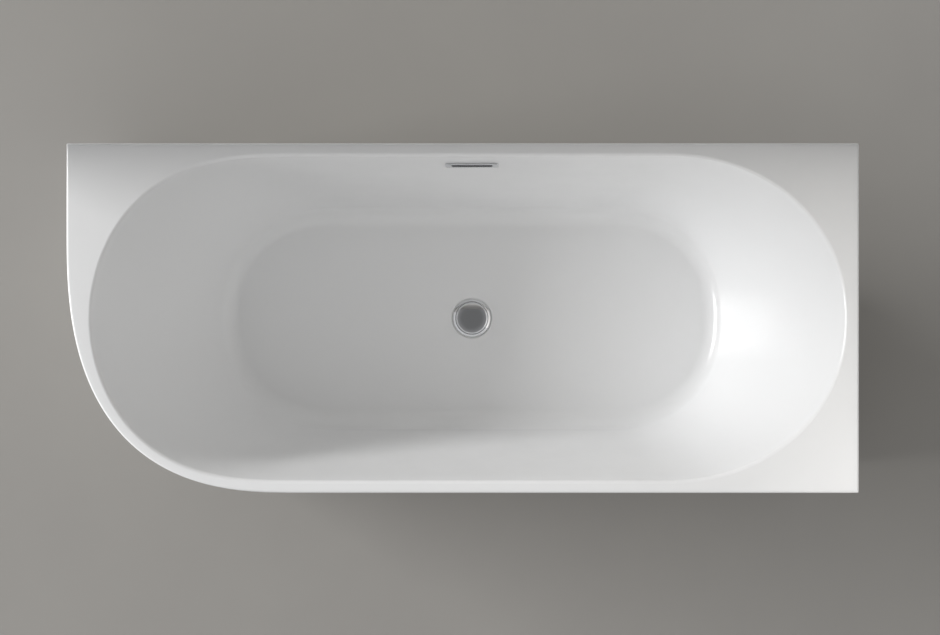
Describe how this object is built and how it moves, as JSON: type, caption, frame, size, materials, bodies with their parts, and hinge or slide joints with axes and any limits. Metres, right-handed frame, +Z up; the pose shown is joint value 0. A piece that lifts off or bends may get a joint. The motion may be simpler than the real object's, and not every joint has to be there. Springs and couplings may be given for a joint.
{
  "type": "freestanding corner bathtub",
  "caption": "White corner bathtub with one rounded front corner, skirt, oval basin, click plug, slot overflow, trap, steel frame and levelling feet.",
  "frame": {"origin": "on the floor, under the middle of the rim's outline", "axes": "+X along the bath towards its right end wall, +Y towards its back wall, +Z up"},
  "size_m": [1.7, 0.75, 0.58],
  "materials": {
    "acrylic": "high-gloss white acrylic with a fibreglass back",
    "board": "sawn chipboard",
    "frame_steel": "grey powder coat",
    "bracket_steel": "galvanised",
    "foot_plastic": "moulded black",
    "zinc_steel": "zinc plated",
    "chrome": "polished chrome plate",
    "rubber": "matt black",
    "dark_plastic": "moulded grey",
    "white_plastic": "moulded white"
  },
  "bodies": {
    "root": {"tub_shell": "acrylic", "skirt": "acrylic", "base_board": "board", "corner_board_back_left": "board", "corner_board_back_right": "board", "corner_board_front_right": "board", "rail_front": "frame_steel", "rail_back": "frame_steel", "cross_bar_left": "frame_steel", "cross_bar_middle": "frame_steel", "cross_bar_right": "frame_steel", "skirt_bracket_left_back": "bracket_steel", "skirt_bracket_left_front": "bracket_steel", "skirt_bracket_front_left": "bracket_steel", "skirt_bracket_front_middle": "bracket_steel", "skirt_bracket_front_right": "bracket_steel", "foot_nut_front_left": "zinc_steel", "foot_nut_back_left": "zinc_steel", "foot_nut_middle": "zinc_steel", "foot_nut_front_right": "zinc_steel", "foot_nut_back_right": "zinc_steel", "plug_spring": "zinc_steel", "hose_clip_upper": "zinc_steel", "hose_clip_lower": "zinc_steel", "drain_flange": "chrome", "overflow_cover": "chrome", "drain_washer": "rubber", "drain_gasket": "rubber", "overflow_gasket": "rubber", "plug_cartridge": "dark_plastic", "overflow_hose": "dark_plastic", "waste_body": "white_plastic", "trap_nut": "white_plastic", "trap_body": "white_plastic", "outlet_pipe": "white_plastic", "outlet_nut": "white_plastic", "overflow_chamber": "white_plastic"},
    "plug": {"plug_cap": "chrome", "plug_seal": "rubber", "plug_plunger": "zinc_steel"},
    "pad_front_left": {"foot_pad_front_left": "foot_plastic"},
    "stud_front_left": {"foot_stud_front_left": "zinc_steel"},
    "pad_back_left": {"foot_pad_back_left": "foot_plastic"},
    "stud_back_left": {"foot_stud_back_left": "zinc_steel"},
    "pad_middle": {"foot_pad_middle": "foot_plastic"},
    "stud_middle": {"foot_stud_middle": "zinc_steel"},
    "pad_front_right": {"foot_pad_front_right": "foot_plastic"},
    "stud_front_right": {"foot_stud_front_right": "zinc_steel"},
    "pad_back_right": {"foot_pad_back_right": "foot_plastic"},
    "stud_back_right": {"foot_stud_back_right": "zinc_steel"}
  },
  "joints": [
    {"name": "plug_press", "type": "slide", "parent": "root", "child": "plug", "axis": [0, 0, 1], "range_m": [0, 0.009]},
    {"name": "foot_front_left_height", "type": "slide", "parent": "root", "child": "pad_front_left", "axis": [0, 0, 1], "range_m": [-0.02, 0.008]},
    {"name": "foot_front_left_screw", "type": "hinge", "parent": "pad_front_left", "child": "stud_front_left", "pos_m": [-0.52, -0.27, 0], "axis": [0, 0, 1], "range_deg": [-4120, 1650]},
    {"name": "foot_back_left_height", "type": "slide", "parent": "root", "child": "pad_back_left", "axis": [0, 0, 1], "range_m": [-0.02, 0.008]},
    {"name": "foot_back_left_screw", "type": "hinge", "parent": "pad_back_left", "child": "stud_back_left", "pos_m": [-0.52, 0.27, 0], "axis": [0, 0, 1], "range_deg": [-4120, 1650]},
    {"name": "foot_middle_height", "type": "slide", "parent": "root", "child": "pad_middle", "axis": [0, 0, 1], "range_m": [-0.02, 0.008]},
    {"name": "foot_middle_screw", "type": "hinge", "parent": "pad_middle", "child": "stud_middle", "pos_m": [-0.13, 0, 0], "axis": [0, 0, 1], "range_deg": [-4120, 1650]},
    {"name": "foot_front_right_height", "type": "slide", "parent": "root", "child": "pad_front_right", "axis": [0, 0, 1], "range_m": [-0.02, 0.008]},
    {"name": "foot_front_right_screw", "type": "hinge", "parent": "pad_front_right", "child": "stud_front_right", "pos_m": [0.56, -0.27, 0], "axis": [0, 0, 1], "range_deg": [-4120, 1650]},
    {"name": "foot_back_right_height", "type": "slide", "parent": "root", "child": "pad_back_right", "axis": [0, 0, 1], "range_m": [-0.02, 0.008]},
    {"name": "foot_back_right_screw", "type": "hinge", "parent": "pad_back_right", "child": "stud_back_right", "pos_m": [0.56, 0.27, 0], "axis": [0, 0, 1], "range_deg": [-4120, 1650]}
  ],
  "couplings": [
    {"joint": "foot_front_left_screw", "follows": "foot_front_left_height", "rad_per_m": 3590.4},
    {"joint": "foot_back_left_screw", "follows": "foot_back_left_height", "rad_per_m": 3590.4},
    {"joint": "foot_middle_screw", "follows": "foot_middle_height", "rad_per_m": 3590.4},
    {"joint": "foot_front_right_screw", "follows": "foot_front_right_height", "rad_per_m": 3590.4},
    {"joint": "foot_back_right_screw", "follows": "foot_back_right_height", "rad_per_m": 3590.4}
  ]
}
